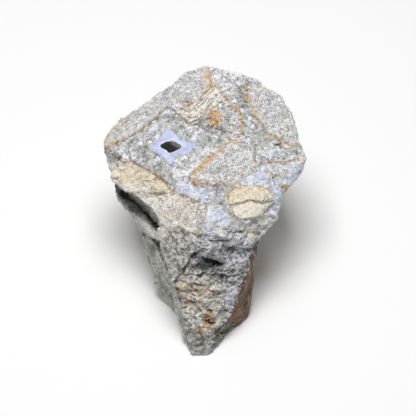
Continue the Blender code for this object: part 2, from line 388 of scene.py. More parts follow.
BLUISH_FRONT = [
    (196, 240), (206, 222), (222, 216), (240, 222), (262, 216), (270, 222), (258, 240), (247, 262),
    (246, 274), (240, 288), (230, 310), (222, 310), (226, 286), (210, 270), (190, 262),
]
BROWN_FLANK = [
    (257, 240), (252, 252), (248, 262), (247, 274), (243, 285), (237, 300), (230, 316),
    (227, 321), (240, 324), (262, 324), (275, 240),
]
BROWN_SIDE = ((14.0, -44.0, 8.0), (26.0, -12.0, 14.0), 13.0)
UNDERSIDE = [(226, 321), (217, 329), (214, 338), (211, 350), (206, 362), (262, 330), (262, 321)]
TIP = [
    (182, 330), (190, 326), (199, 333), (205, 335), (213, 334), (214, 346), (208, 362), (180, 362),
]
OLIVE_LOBE = [
    (143, 236), (150, 240), (157, 244), (160, 253), (164, 264), (170, 276), (176, 290),
    (181, 306), (187, 320), (180, 330), (120, 290), (110, 190), (118, 190), (126, 207),
    (134, 218),
]
CAVITY = [
    (113, 183), (119, 189), (124, 192), (131, 194), (138, 199), (145, 205), (151, 210),
    (156, 216), (158, 224), (156, 229), (153, 221), (149, 216), (144, 213), (140, 214),
    (136, 214), (131, 211), (125, 205), (119, 199), (115, 191),
]
CAVITY_BAR = ((-44.0, 12.0, 44.0), (-25.0, -18.0, 50.0), 14.0)
KNOB = [
    (136, 215), (141, 214), (146, 214), (151, 218), (155, 224), (157, 232), (158, 241),
    (154, 240), (148, 236), (142, 230), (137, 222),
]
HOLLOW = [
    (199, 252), (208, 253), (216, 256), (224, 259), (229, 263), (223, 268), (212, 267), (204, 262),
]

# %% [markdown]
# ## Grabs, steps, cracks and dents
#
# The fragments broke unevenly, so one often stands a little higher than its
# neighbour. A grab slides a place sideways, to set the outline right. A step lifts one
# side of a line and fades out away from it. A crack is a narrow valley, and a dent
# sinks all that lies inside an outline. Steps, cracks and dents are plain moves along
# the normals, like strokes with a sculpting brush.

# %% Where the strokes go
# Each grab is its place, how far it slides to the right and down, and its radius,
# all in pixels.
GRABS = [
    ((134, 109), (1.8, 3.0), 14), ((150, 98), (1.0, 1.5), 10), ((171, 83), (1.0, 1.5), 7),
    ((133, 220), (3.6, -1.6), 16), ((146, 262), (2.0, -0.5), 10), ((165, 292), (1.6, -0.8), 14),
    ((181, 332), (1.0, 0.0), 8), ((187, 351), (2.2, 0.5), 8), ((206, 354), (0.0, 1.5), 8),
    ((299, 138), (-1.6, 0.0), 8),
    ((263, 243), (-5.0, 0.5), 12), ((258, 264), (-1.8, 0.0), 12), ((230, 338), (-2.6, -2.6), 9),
    ((193, 71), (-0.5, -2.2), 14), ((282, 92), (2.0, -1.6), 17), ((114, 183), (-2.8, 0.0), 10),
    ((104, 150), (-0.8, 0.0), 7), ((245, 318), (2.0, 1.8), 11), ((251, 298), (0.8, 0.0), 11),
    ((279, 207), (2.2, 0.0), 9),
]
# Each ledge is its line, its height and how far it reaches, in mm.
LEDGES = [
    ([(104, 146), (121, 141), (141, 130), (158, 115), (167, 106), (170, 104)], 1.5, 7),
    ([(167, 104), (174, 111), (181, 117), (189, 123), (196, 125)], 1.3, 6),
    ([(192, 125), (200, 122), (207, 118), (216, 120), (224, 125)], 1.2, 4),
    ([(170, 188), (166, 181), (154, 173), (143, 167), (132, 160), (118, 163)], -0.9, 6),
    ([(113, 187), (128, 192), (148, 193), (166, 193)], 0.8, 5),
    ([(245, 143), (253, 150), (258, 163)], 0.5, 4),
    ([(194, 178), (212, 183), (232, 186)], 0.6, 5),
    ([(232, 213), (240, 219), (254, 218), (266, 211)], 0.8, 4),
    ([(199, 202), (206, 203), (207, 213), (199, 234)], 0.5, 3),
    ([(228, 262), (216, 257), (206, 253), (196, 250)], 1.6, 4),
    ([(247, 272), (233, 276), (221, 277), (208, 273), (190, 275), (179, 279)], -0.7, 6),
]
# Each crack is its line, its depth and its width, in mm.
CRACKS = [
    ([(184, 116), (191, 119), (199, 114), (206, 109)], 0.6, 0.5),
    ([(190, 112), (199, 104), (208, 95)], 0.5, 0.5),
    ([(203, 116), (209, 106), (212, 96)], 0.5, 0.5),
    ([(186, 122), (198, 122), (208, 119), (216, 115)], 0.8, 0.6),
    ([(196, 127), (206, 131), (216, 133), (224, 138)], 0.7, 0.6),
    ([(208, 124), (216, 128), (226, 130)], 0.7, 0.6),
    ([(148, 194), (158, 195), (168, 193)], 0.8, 0.6),
    ([(231, 205), (240, 203), (250, 200), (262, 203), (273, 201)], 0.6, 0.5),
    ([(246, 86), (248, 98), (259, 121), (268, 131), (279, 141)], 0.3, 0.6),
    ([(185, 197), (194, 204), (203, 199)], 0.3, 0.5),
    ([(196, 256), (192, 255), (190, 260), (182, 276)], 1.2, 0.8),
    ([(194, 243), (200, 236), (208, 240), (216, 246), (226, 252)], 0.9, 1.0),
    ([(179, 279), (190, 275), (201, 275), (216, 271)], 1.0, 0.7),
    ([(214, 272), (221, 277), (233, 276), (246, 272)], 1.2, 0.7),
    ([(222, 280), (232, 284), (243, 283)], 0.9, 0.8),
    ([(176, 290), (188, 292), (200, 290)], 0.9, 0.7),
    ([(180, 302), (192, 303), (204, 300)], 0.8, 0.6),
    ([(183, 321), (190, 316), (192, 306)], 0.8, 0.7),
    ([(196, 346), (201, 345), (206, 347)], 1.2, 0.9),
    ([(199, 329), (202, 336), (206, 342)], 0.7, 0.6),
    ([(141, 232), (148, 238), (158, 243)], 1.5, 0.9),
]
# Each dent is its outline, its depth, and how far inside the outline it starts and is
# full, in mm.
DENTS = [
    (HOLLOW, 5.0, -0.3, 3.0), (CAVITY, 5.0, -0.9, 0.9), (KNOB, -1.8, -0.3, 3.0),
    ([(216, 249), (219, 247), (225, 250), (224, 254), (218, 253)], 2.2, -0.3, 1.0),
    ([(190, 254), (198, 250), (202, 253), (198, 258), (191, 259)], 1.6, -0.3, 1.2),
]

# %% Make the strokes
STROKE_END = 3.0
STEP_WIDTH = 0.5


def grab():
    """Slides the points near some places sideways, level with the base."""
    moved = points.copy()
    for (x, y), (shift_x, shift_y), radius in GRABS:
        pull = np.exp(-((column - x) ** 2 + (row - y) ** 2) / radius ** 2)
        moved[:, 0] += pull * shift_x / PIXELS_PER_MM
        moved[:, 1] -= pull * shift_y / PIXELS_PER_MM / math.sin(EYE_ELEVATION)
    write_points(moved)


def taper(along, length):
    """Lets a stroke begin and end softly."""
    return step(0, STROKE_END, along) * step(0, STROKE_END, length - along)


def ledge(line, height, reach):
    """A lift on the left-hand side of a line, drawn in the order of its points."""
    distance, side, along, length = nearest_on_line(line)
    signed = -distance * side
    lift = step(-STEP_WIDTH, STEP_WIDTH, signed) * np.exp(-np.abs(signed) / reach)
    return height * lift * taper(along, length)


def crack(line, depth, width):
    """A narrow valley along a line."""
    distance, _, along, length = nearest_on_line(line)
    return -depth * np.exp(-(distance / width) ** 2) * taper(along, length)


def dent(outline, depth, start, full):
    """A sunk place. A depth below 0 makes a swelling."""
    return -depth * step(start, full, inside(outline))


grab()
points, normals, column, row, facing, in_view = look()
relief = np.zeros(len(column))
for stroke, places in ((ledge, LEDGES), (crack, CRACKS), (dent, DENTS)):
    for place in places:
        relief += stroke(*place)
write_points(points + normals * (relief * in_view)[:, None])
print("strokes from", round(float(relief.min()), 2), "to", round(float(relief.max()), 2), "mm")

# %% [markdown]
# ## Broken surfaces
#
# Rock breaks into many small slanted faces that meet in steps. A noise texture is too
# soft for that. The function below splits space into small cells, as a Voronoi
# texture does, and gives each cell its own tilt and level, so the surface is faceted
# like the real one. Each kind of rock gets faces of its own size and steepness.

# %% Say where each kind of surface is
FRONT_STARTS, FRONT_FULL, FRONT_LEAN = 220, 240, 0.1
LAYERS_START, LAYERS_FULL = 215, 245


def in_front_share():
    """0 on the level face and 1 on the steep front, by the row that the eye sees."""
    return step(FRONT_STARTS, FRONT_FULL, row + FRONT_LEAN * (column - FRAME_PIXELS / 2))


points, normals, column, row, facing, in_view = look()
fragment = union(*[inside(outline) for outline in fragment_outlines])
olive = inside(OLIVE_LOBE)
brown = inside(BROWN_FLANK)
hidden_brown = step(-2, 2, near_segment(*BROWN_SIDE)) * step(0.3, -0.1, facing)

is_smooth = union(
    step(-0.5, 1.0, inside(CHALCEDONY)), step(-1, 2, olive), step(-0.5, 1, brown),
    0.7 * step(-1, 1, inside(KNOB)), 0.6 * step(-1, 1, inside(UNDERSIDE)),
    0.5 * step(-1, 2, inside(TIP)),
) * in_view
is_smooth = union(is_smooth, hidden_brown)
in_front = in_front_share() * in_view * (1 - is_smooth)
in_lower_left = step(-1.0, 1.0, inside(LOWER_LEFT)) * in_view
low_on_the_left = in_lower_left * step(LAYERS_START, LAYERS_FULL, row)
hackly = in_front * (1 - in_lower_left)
out_of_view = (1 - in_view) * (1 - is_smooth)
steep = step(0.9, 0.6, np.abs(normals[:, 2]))
in_quartz = step(0.3, -0.6, fragment) * in_view * (1 - is_smooth) * (1 - in_front)
off_base = 1 - step(1.2, 0.3, points[:, 2])
print("share of smooth points", round(float(is_smooth.mean()), 2))

# %% Break the surfaces up
TABLE_SIZE = 32
EDGE_SOFTNESS = 0.15
WAVE_REACH, WAVE_RATE, WAVE_START = 0.18, 4.3, 1.7
LAYER_STRETCH = 0.75
HATCHING = (0.69, -0.58, -0.44)


def turned(degrees, stretch):
    """The axes of a space that leans to the right and is stretched, as a matrix."""
    lean = math.radians(degrees)
    axes = np.array((
        (math.cos(lean), 0.0, -math.sin(lean)),
        (0.0, 1.0, 0.0),
        (math.sin(lean), 0.0, math.cos(lean)),
    ))
    return (axes / np.array(stretch)[:, None]).T


def broken_faces(size, slope, drop, space, seed):
    """Heights in mm of a surface that broke into faces about size mm across."""
    dice = np.random.default_rng(seed).random((TABLE_SIZE, TABLE_SIZE, TABLE_SIZE, 7))
    spot = points @ space / size
    spot = spot + WAVE_REACH * np.sin(spot[:, [1, 2, 0]] * WAVE_RATE + WAVE_START)
    home = np.floor(spot).astype(int)
    nearest = np.full(len(points), np.inf)
    second = np.full(len(points), np.inf)
    height = np.zeros(len(points))
    other = np.zeros(len(points))
    for shift in np.ndindex(3, 3, 3):
        corner = home + np.array(shift) - 1
        drawn = dice[tuple((corner % TABLE_SIZE).T)]
        offset = spot - corner - drawn[:, :3]
        gap = (offset ** 2).sum(axis=1)
        tilt = (offset * (drawn[:, 4:] - 0.5)).sum(axis=1) * 2 * slope * size
        level = tilt + drop * (drawn[:, 3] - 0.5)
        is_first = gap < nearest
        is_next = ~is_first & (gap < second)
        other = np.where(is_first, height, np.where(is_next, level, other))
        second = np.where(is_first, nearest, np.where(is_next, gap, second))
        height = np.where(is_first, level, height)
        nearest = np.where(is_first, gap, nearest)
    share = 0.5 + 0.5 * step(0, EDGE_SOFTNESS, np.sqrt(second) - np.sqrt(nearest))
    return height * share + other * (1 - share)


even = turned(0, (1, 1, 1))
leaning = turned(20, (2.4, 1.0, 0.7))
rising = turned(-32, (2.6, 1.0, 0.7))
across = turned(-18, (1.8, 1.0, 0.8))
upright = turned(-70, (3.0, 1.0, 1.0))
downward = turned(70, (2.0, 1.0, 1.0))
diagonal = np.eye(3) - LAYER_STRETCH * np.outer(HATCHING, HATCHING)

# Each kind is the faces' size in mm, their slope, the drop between them in mm, the
# space that they lie in and the seed, and then where they are.
kinds_of_faces = [
    (11.0, 0.24, 1.6, leaning, 1, union(hackly, 0.5 * out_of_view * steep)),
    (5.0, 0.26, 0.9, rising, 2, union(hackly, 0.6 * out_of_view * steep)),
    (2.6, 0.34, 0.7, leaning, 3, union(hackly, 0.6 * out_of_view)),
    (2.2, 0.18, 0.28, diagonal, 11, low_on_the_left),
    (6.0, 0.13, 0.45, diagonal, 4, union(in_lower_left, 0.5 * out_of_view)),
    (13.0, 0.05, 0.7, even, 5, 1 - is_smooth),
    (3.6, 0.20, 0.5, even, 6, in_quartz),
    (1.8, 0.20, 0.22, even, 7, 1 - 0.9 * is_smooth - 0.5 * low_on_the_left),
    (3.2, 0.30, 0.9, across, 8, step(-1, 2, inside(BROW)) * in_view),
    (6.0, 0.12, 0.4, upright, 9, step(-1, 1, brown) * in_view),
    (9.0, 0.10, 0.5, downward, 10, step(-1, 1, olive) * in_view),
]
heights = np.zeros(len(points))
for *kind, where in kinds_of_faces:
    heights += broken_faces(*kind) * where
write_points(points + normals * (heights * off_base)[:, None])
print("faces from", round(float(heights.min()), 2), "to", round(float(heights.max()), 2), "mm")

# %% [markdown]
# ## Keeping within the solid's box
#
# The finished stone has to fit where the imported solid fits. Points that the relief
# has pushed out of its box are brought back to it, and the base is kept flat. Edges
# sharper than 24 degrees stay sharp, because broken rock has sharp edges.

# %% Stay in the box
BASE_BAND = 0.15
SHARP_EDGE = math.radians(24)

points, normals, column, row, facing, in_view = look()
points = np.clip(points, np.array(cad_low) / MM, np.array(cad_high) / MM)
points[:, 2] = np.where(points[:, 2] < BASE_BAND, 0.0, points[:, 2])
write_points(points)
bpy.ops.object.select_all(action="DESELECT")
stone.select_set(True)
bpy.context.view_layer.objects.active = stone
bpy.ops.object.shade_smooth_by_angle(angle=SHARP_EDGE)
print("triangles", 2 * len(stone.data.polygons))

# %% [markdown]
# ## What the finish needs to know
#
# The colours are mixed in the material, from numbers that are kept on the mesh. Each
# one is the distance to the outlines of one kind of mark. A distance has an advantage
# over a painted mask: the material can add its own noise to it before it decides
# where the edge is, so edges stay crisp and ragged on a net of any size.

# %% Lines that iron has stained, and dark seams, some of them painted shade
# Each line has half its width in mm.
RIMS = [
    ([(205, 64), (209, 73), (212, 84)], 1.1),
    ([(212, 84), (221, 90), (226, 99), (235, 106), (242, 117), (243, 124), (239, 138)], 0.7),
    ([(212, 84), (204, 94), (198, 99), (191, 103), (180, 110)], 0.45),
    ([(177, 113), (184, 119), (190, 124)], 0.6),
    ([(245, 85), (248, 92), (246, 98), (252, 107), (256, 115), (261, 125), (268, 132), (276, 138),
      (283, 143), (290, 145), (303, 144)], 0.75),
    ([(305, 154), (297, 158), (290, 161), (277, 162), (262, 163)], 0.6),
    ([(241, 139), (229, 141), (219, 151)], 0.6),
    ([(228, 140), (219, 149), (211, 157), (203, 165), (196, 171), (191, 175)], 0.8),
    ([(214, 154), (206, 161), (198, 169)], 1.2),
    ([(104, 143), (108, 136), (118, 123), (130, 113), (142, 104), (156, 94), (168, 86)], 0.6),
    ([(291, 110), (295, 124), (298, 134), (301, 142), (303, 150)], 0.5),
    ([(256, 77), (264, 82), (272, 87)], 0.6),
    ([(190, 178), (198, 182), (205, 184), (215, 181), (225, 183), (238, 184)], 0.5),
    ([(229, 141), (238, 143), (243, 142), (250, 148), (254, 155), (255, 162), (259, 167)], 0.35),
    ([(104, 147), (121, 142), (132, 136), (146, 127)], 0.4),
    ([(146, 127), (158, 115), (165, 108)], 0.35),
    ([(122, 158), (131, 161), (143, 167)], 0.3),
    ([(143, 167), (153, 173), (160, 178), (167, 184), (170, 189)], 0.75),
    ([(170, 189), (183, 197), (194, 199), (199, 202)], 0.5),
    ([(199, 202), (197, 214), (198, 222), (197, 234)], 0.25),
    ([(206, 203), (207, 213), (203, 223), (199, 234)], 0.35),
    (CREAM_UPPER + CREAM_UPPER[:1], 0.35),
    (CREAM_LOWER + CREAM_LOWER[:1], 0.3),
    (SPOTTED + SPOTTED[:1], 0.15),
    (SMALL_ORANGE + SMALL_ORANGE[:1], 0.7),
    ([(228, 194), (230, 206), (236, 218), (230, 228)], 0.4),
    ([(205, 128), (216, 134), (231, 140)], 0.3),
    ([(233, 217), (238, 226)], 0.35),
]
# Dark seams, and lines of painted shade along the edges of the lower-left fragment, the olive lobe
# and the notch.
SEAM_AND_SHADE_LINES = [
    ([(104, 148), (108, 153), (113, 155), (122, 161)], 0.7),
    ([(174, 111), (181, 117), (190, 123)], 0.5),
    ([(190, 123), (200, 119), (208, 114), (216, 116)], 0.6),
    ([(212, 86), (204, 95), (197, 101), (188, 106)], 0.35),
    ([(249, 145), (254, 158), (260, 166)], 0.4),
    ([(178, 107), (188, 112), (196, 108), (204, 103), (208, 97)], 0.4),
    ([(192, 122), (199, 118), (206, 112), (216, 106), (222, 102)], 0.4),
    ([(203, 97), (208, 103), (206, 111)], 0.35),
    ([(184, 114), (192, 118), (198, 116)], 0.4),
    ([(229, 205), (240, 203), (250, 200), (262, 203), (274, 201)], 0.35),
    ([(257, 240), (252, 252), (248, 262), (247, 274), (243, 285), (237, 300), (230, 316)], 0.6),
    ([(192, 233), (198, 236), (206, 241), (218, 243)], 0.5),
    ([(188, 256), (193, 253), (200, 251), (206, 253)], 0.8),
    ([(181, 278), (191, 274), (203, 273), (216, 270)], 0.6),
    ([(214, 272), (222, 277), (234, 276), (246, 272)], 0.7),
    ([(222, 281), (232, 285), (242, 283)], 0.5),
    ([(178, 291), (190, 292), (201, 290)], 0.5),
    ([(141, 232), (148, 238), (158, 243)], 0.9),
    ([(154, 239), (158, 246), (160, 253), (165, 264), (170, 276), (177, 290), (182, 306)], 0.85),
    ([(198, 251), (193, 256), (191, 258), (189, 264), (184, 268), (183, 273), (178, 277),
      (176, 282)], 1.1),
    ([(113, 184), (124, 192), (131, 194), (145, 205), (156, 216), (158, 228)], 0.5),
    ([(196, 346), (201, 345), (206, 347)], 0.9),
    ([(274, 144), (278, 145), (281, 143)], 0.8),
    ([(150, 194), (158, 195), (168, 193)], 0.5),
]
# The line under the notch's lip, along which a dark shadow is painted.
UNDER_LIP_SHADOW = [([(114, 186), (126, 196), (135, 200), (143, 207), (150, 213), (156, 221)], 2.0)]
LINE_SPREAD = 1.15
FAR_FROM_LINES = -8.0


def on_lines(lines):
    """How strongly each point is on a line: 1 in its middle, 0 at its edge."""
    field = np.full(len(column), FAR_FROM_LINES)
    for line, half_width in lines:
        field = np.maximum(field, 1 - nearest_on_line(line)[0] / half_width / LINE_SPREAD)
    return field


# %% Spots that iron has stained, and dark specks
RUST_SPOTS = [
    [(210, 110), (214, 109), (221, 112), (221, 120), (218, 125), (210, 124), (207, 119)],
    [(207, 309), (212, 311), (216, 320), (213, 330), (207, 331), (202, 324), (204, 316)],
    [(197, 324), (202, 327), (204, 335), (200, 336), (196, 330)],
    [(113, 143), (119, 141), (118, 144), (113, 146)],
    [(176, 286), (181, 287), (183, 294), (179, 300)],
    [(281, 185), (285, 184), (290, 186), (287, 189), (282, 188)],
    [(283, 162), (287, 162), (287, 165), (283, 165)],
]
RED_SPOTS = [
    [(185, 99), (188, 101), (190, 103), (187, 103)],
    [(208, 120), (211, 121), (211, 124), (208, 123)],
    [(193, 183), (199, 184), (197, 187), (193, 186)],
    [(206, 318), (209, 316), (210, 321), (207, 324)],
    [(205, 227), (207, 228), (206, 231), (204, 230)],
]
SPECK_SIZE = 0.55
DARK_SPECKS = [
    (226, 219), (260, 170), (171, 232), (182, 249), (272, 174), (274, 177), (275, 175), (273, 178),
    (278, 144), (276, 145), (282, 188), (286, 189), (214, 138), (194, 124), (144, 152), (216, 117),
]


def specks():
    """The distance to the nearest dark speck's edge in mm, more than 0 inside."""
    gaps = [np.hypot(column - x, row - y) for x, y in DARK_SPECKS]
    return SPECK_SIZE - np.minimum.reduce(gaps) / PIXELS_PER_MM


# %% Keep the fields on the mesh
FACING_ROUNDS = 8
SEEN_FROM, SHOWN_FROM = 0.12, 0.15
FINE_ROUNDS, COARSE_ROUNDS = 4, 40

points, normals, column, row, facing, in_view = look()
edges = np.empty(len(stone.data.edges) * 2, dtype=np.int32)
stone.data.edges.foreach_get("vertices", edges)
edges = edges.reshape(-1, 2)
neighbours = np.bincount(edges.ravel(), minlength=len(points)).astype(float)


def keep(name, values):
    """Keeps one number for each point, under a name that the material can ask for."""
    attribute = stone.data.attributes.new(name, "FLOAT", "POINT")
    attribute.data.foreach_set("value", np.asarray(values, dtype=np.float32))


def spread(values, rounds):
    """Averages a value over each point's neighbours, a number of times."""
    for _ in range(rounds):
        from_second = np.bincount(edges[:, 0], values[edges[:, 1]], len(values))
        from_first = np.bincount(edges[:, 1], values[edges[:, 0]], len(values))
        values = (values + from_second + from_first) / (neighbours + 1)
    return values


def hollowness(rounds):
    """How far each point lies under the smoothed surface, in mm."""
    smoothed = np.stack([spread(points[:, axis], rounds) for axis in range(3)], axis=1)
    return ((smoothed - points) * normals).sum(axis=1)


smooth_facing = spread(facing, FACING_ROUNDS)
seen_share = step(0.0, SEEN_FROM, smooth_facing)
brown_side = near_segment(*BROWN_SIDE)
cavity_bar = near_segment(*CAVITY_BAR)
kept_fields = {
    "brown_flank": inside(BROWN_FLANK) * seen_share + brown_side * (1 - seen_share),
    "fine_hollow": hollowness(FINE_ROUNDS),
    "coarse_hollow": hollowness(COARSE_ROUNDS),
    "hidden": 1 - step(GLANCING, SHOWN_FROM, smooth_facing),
    "front": in_front_share(),
    "rim": on_lines(RIMS),
    "seam_and_shade": on_lines(SEAM_AND_SHADE_LINES),
    "specks": specks(),
    "cavity": np.minimum(inside(CAVITY), cavity_bar),
    "under_lip_shadow": np.minimum(on_lines(UNDER_LIP_SHADOW), cavity_bar),
}
outlines_of = {
    "fragment": fragment_outlines, "chalcedony": [CHALCEDONY], "pocket": [POCKET],
    "chalcedony_highlight": CHALCEDONY_HIGHLIGHTS, "pale_cement_and_lit_patch": PALE_CEMENT_AND_LIT_PATCH, "pocket_highlight": [POCKET_HIGHLIGHT],
    "blue_cement": BLUE_CEMENT, "white_and_lit_patch": WHITE_AND_LIT_PATCHES, "yellowed": YELLOWED,
    "painted_shade": SHADED_PATCHES, "greenish": GREENISH, "pale_chips": PALE_CHIPS,
    "reddened": REDDENED, "bluish_front": [BLUISH_FRONT], "rust": RUST_SPOTS,
    "red": RED_SPOTS, "cream": [CREAM_UPPER, CREAM_LOWER], "cream_low_highlight": [CREAM_LOWER],
    "lower_left": [LOWER_LEFT], "upper_left": [UPPER_LEFT], "streaked": [STREAKED],
    "grey_block": [GREY_BLOCK], "underside_shade": [UNDERSIDE], "olive": [OLIVE_LOBE],
    "front_hollow_shade": [HOLLOW], "tip": [TIP], "brow": [BROW], "knob": [KNOB],
}
for name, outlines in outlines_of.items():
    kept_fields[name] = union(*[inside(outline) for outline in outlines])
for name, values in kept_fields.items():
    keep(name, values)
print(len(kept_fields), "fields:", ", ".join(kept_fields))

# %% [markdown]
# ## Nodes that the finish uses many times
#
# A node group is a small tool that is built once. One makes speckled rock from two
# colours, one makes quartz grains, one turns a distance into a ragged mask, and one
# draws fragments where no photograph shows any, for the back and the base.

# %% Helpers that place and join nodes
def new_group(name, inputs, outputs):
    group = bpy.data.node_groups.new(name, "ShaderNodeTree")
    for label, kind, value in inputs:
        socket = group.interface.new_socket(label, in_out="INPUT", socket_type=kind)
        if value is not None:
            socket.default_value = value
    for label, kind in outputs:
        group.interface.new_socket(label, in_out="OUTPUT", socket_type=kind)
    entry = group.nodes.new("NodeGroupInput")
    leave = group.nodes.new("NodeGroupOutput")
    return group, entry.outputs, leave.inputs


def feed(socket, value):
    """Links a socket to another, or sets its value."""
    if isinstance(value, bpy.types.NodeSocket):
        socket.id_data.links.new(value, socket)
    else:
        socket.default_value = value


def place(kind, *values):
    """Adds a node to the tree that the first socket among the values belongs to."""
    tree = next(value.id_data for value in values if isinstance(value, bpy.types.NodeSocket))
    return tree.nodes.new("ShaderNode" + kind)


def maths(operation, first, second=0.0, third=0.0, clamped=False):
    node = place("Math", first, second, third)
    node.operation = operation
    node.use_clamp = clamped
    for socket, value in zip(node.inputs, (first, second, third)):
        feed(socket, value)
    return node.outputs[0]


def times(*factors):
    """The product of numbers and sockets."""
    product = factors[0]
    for factor in factors[1:]:
        product = maths("MULTIPLY", product, factor)
    return product


def rest(value):
    """What is left of 1."""
    return maths("SUBTRACT", 1.0, value)


def noise(vector, scale, detail=2.0, roughness=0.5, curl=0.0):
    """Noise from 0 to 1, with about as many lumps to a millimetre as scale says."""
    node = place("TexNoise", vector)
    feed(node.inputs["Vector"], vector)
    feed(node.inputs["Scale"], scale)
    node.inputs["Detail"].default_value = detail
    node.inputs["Roughness"].default_value = roughness
    node.inputs["Distortion"].default_value = curl
    return node.outputs["Fac"]


def ramp(value, low, high, to_low=0.0, to_high=1.0):
    """A soft change from to_low to to_high as the value goes from low to high."""
    node = place("MapRange", value)
    node.interpolation_type = "SMOOTHSTEP"
    for socket, number in zip(node.inputs, (value, low, high, to_low, to_high)):
        feed(socket, number)
    return node.outputs["Result"]


def mix(share, first, second):
    """The first colour where the share is 0, and the second where it is 1."""
    node = place("Mix", share)
    node.data_type = "RGBA"
    for index, value in ((0, share), (6, first), (7, second)):
        feed(node.inputs[index], value)
    return node.outputs[2]


def bend(vector, scale, reach):
    """Moves a place by up to reach mm, in lumps, so that what lies there is uneven."""
    waves = place("TexNoise", vector)
    waves.inputs["Scale"].default_value = scale
    feed(waves.inputs["Vector"], vector)
    moved = place("VectorMath", vector)
    moved.operation = "MULTIPLY_ADD"
    for socket, value in zip(moved.inputs, (waves.outputs["Color"], (reach,) * 3, vector)):
        feed(socket, value)
    return moved.outputs[0]


def cells(vector, scale, feature="F1"):
    """A pattern of closed cells, which is the look of grains and of broken rock."""
    node = place("TexVoronoi", vector)
    node.feature = feature
    feed(node.inputs["Vector"], vector)
    feed(node.inputs["Scale"], scale)
    return node.outputs


def one_channel(colour):
    """A colour's red as a number, which is a random tone for each cell."""
    node = place("SeparateColor", colour)
    feed(node.inputs[0], colour)
    return node.outputs[0]


# %% The speckle group
FINE_SHARE, BROAD_SCALE = 0.7, 0.3
SPECKLE_CONTRAST, SPECKLE_MIDDLE = 9.0, 0.55

speckle, entry, leave = new_group(
    "speckled rock",
    [("Vector", "NodeSocketVector", None), ("Light", "NodeSocketColor", None),
     ("Dark", "NodeSocketColor", None), ("Fineness", "NodeSocketFloat", 1.0),
     ("Contrast", "NodeSocketFloat", 0.5)],
    [("Color", "NodeSocketColor"), ("Height", "NodeSocketFloat")],
)
small = noise(entry["Vector"], entry["Fineness"], detail=1.5, roughness=0.7, curl=0.7)
broad = noise(entry["Vector"], times(entry["Fineness"], BROAD_SCALE))
both = maths("ADD", times(small, FINE_SHARE), times(broad, 1 - FINE_SHARE))
off_middle = times(maths("SUBTRACT", both, 0.5), entry["Contrast"], SPECKLE_CONTRAST)
share = maths("ADD", off_middle, SPECKLE_MIDDLE, clamped=True)
feed(leave["Color"], mix(share, entry["Dark"], entry["Light"]))
feed(leave["Height"], both)
print("speckled rock:", len(speckle.nodes), "nodes")

# %% The quartz grains group
CRYSTAL_BEND_SCALE, CRYSTAL_BEND = 0.9, 1.6
FACET_SHARE = 0.4

grains, entry, leave = new_group(
    "quartz grains",
    [("Vector", "NodeSocketVector", None), ("Light", "NodeSocketColor", None),
     ("Dark", "NodeSocketColor", None), ("Size", "NodeSocketFloat", 2.0)],
    [("Color", "NodeSocketColor")],
)
bent = bend(entry["Vector"], CRYSTAL_BEND_SCALE, CRYSTAL_BEND)
crystals = cells(bent, maths("DIVIDE", 1.0, entry["Size"]))
facets = times(one_channel(crystals["Color"]), FACET_SHARE)
sparkle = noise(entry["Vector"], 1 / 0.8, detail=1.5, roughness=0.7, curl=0.5)
glint = ramp(maths("ADD", facets, sparkle), 0.48, 0.9)
feed(leave["Color"], mix(glint, entry["Dark"], entry["Light"]))
print("quartz grains:", len(grains.nodes), "nodes")

# %% The ragged mask group
LARGE_WOBBLE, SMALL_WOBBLE = 4.0, 1.2

ragged, entry, leave = new_group(
    "ragged mask",
    [("Vector", "NodeSocketVector", None), ("Distance", "NodeSocketFloat", 0.0),
     ("Wobble", "NodeSocketFloat", 0.6), ("Softness", "NodeSocketFloat", 0.3)],
    [("Mask", "NodeSocketFloat")],
)
large = noise(entry["Vector"], 1 / LARGE_WOBBLE)
small = noise(entry["Vector"], 1 / SMALL_WOBBLE, detail=1.0)
wobble = maths("ADD", maths("SUBTRACT", large, 0.5), maths("SUBTRACT", small, 0.5))
moved = maths("ADD", entry["Distance"], times(wobble, entry["Wobble"], 2.0))
low_edge = times(entry["Softness"], -1.0)
feed(leave["Mask"], ramp(moved, low_edge, entry["Softness"]))
print("ragged mask:", len(ragged.nodes), "nodes")

# %% The hidden fragments group
FRAGMENT_SIZE = 26.0
FRAGMENT_BEND_SIZE, FRAGMENT_BEND = 14.0, 7.0
GAP_PATCHES = 22.0
NARROW_GAP, WIDE_GAP = 0.2, 4.0
RIM_HALF_WIDTH = 0.55

breccia, entry, leave = new_group(
    "hidden fragments",
    [("Vector", "NodeSocketVector", None)],
    [("Fragment", "NodeSocketFloat"), ("Rim", "NodeSocketFloat"), ("Tone", "NodeSocketFloat")],
)
bent = bend(entry["Vector"], 1 / FRAGMENT_BEND_SIZE, FRAGMENT_BEND)
borders = cells(bent, 1 / FRAGMENT_SIZE, feature="DISTANCE_TO_EDGE")
tones = cells(bent, 1 / FRAGMENT_SIZE)
edge_gap = times(borders["Distance"], FRAGMENT_SIZE)
gap_noise = noise(entry["Vector"], 1 / GAP_PATCHES)
gap_width = ramp(gap_noise, 0.4, 0.62, NARROW_GAP, WIDE_GAP)
inside_gap = maths("SUBTRACT", edge_gap, gap_width)
rim_gap = maths("DIVIDE", maths("ABSOLUTE", inside_gap), RIM_HALF_WIDTH)
feed(leave["Fragment"], inside_gap)
feed(leave["Rim"], rest(rim_gap))
feed(leave["Tone"], one_channel(tones["Color"]))
print("hidden fragments:", len(breccia.nodes), "nodes")

# %% [markdown]
# ## The palette
#
# Each colour is written as it looks on the brightly lit level face, where 255 is the
# white of the page. Some go a little past that, because noise then darkens parts of
# them. The light there is stronger than 1, so each value is divided by it, and no rock
# gives back more than a fixed share of the light.

# %% The colours
FACE_LIGHT = 1.25
WHITEST = 0.93

